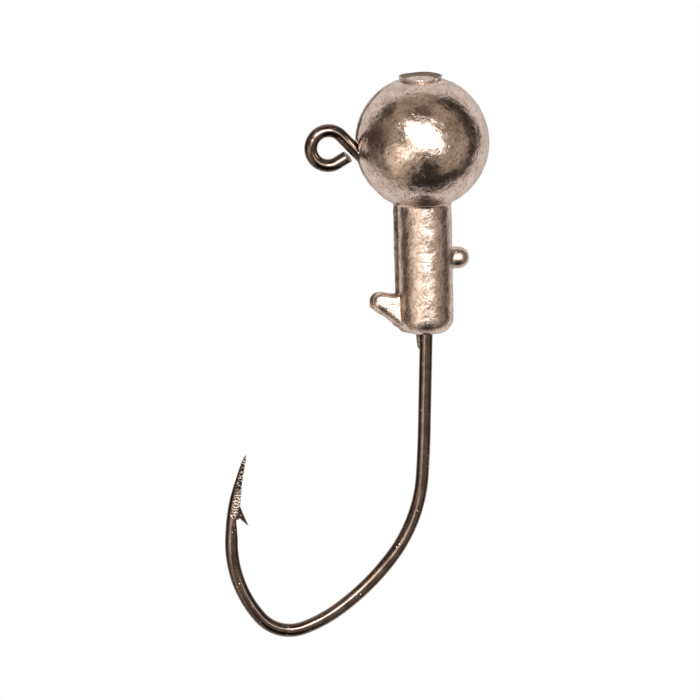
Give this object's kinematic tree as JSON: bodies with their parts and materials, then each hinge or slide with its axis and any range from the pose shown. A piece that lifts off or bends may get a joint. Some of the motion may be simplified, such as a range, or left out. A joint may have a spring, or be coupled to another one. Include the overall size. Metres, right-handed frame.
{
  "type": "jig head",
  "caption": "Cast lead ball jig head with a round bait collar, keeper fin and nub, on a bent wire hook with a line eye, forged bend and barbed point.",
  "frame": {"origin": "centre of the line eye, on the wire's middle plane", "axes": "+X from the line eye towards the ball, +Y along the hole of the line eye, +Z from the hook bend up to the ball, parallel to the collar"},
  "size_m": [0.0254, 0.0124, 0.0519],
  "materials": {
    "cast_lead": "bare cast lead alloy, bright with a fine mottled skin and small pits",
    "dark_steel_wire": "dark bronzed nickel plate over hardened wire, glossy, fine scratches"
  },
  "bodies": {
    "root": {"lead_head": "cast_lead", "jig_hook": "dark_steel_wire"}
  },
  "joints": []
}
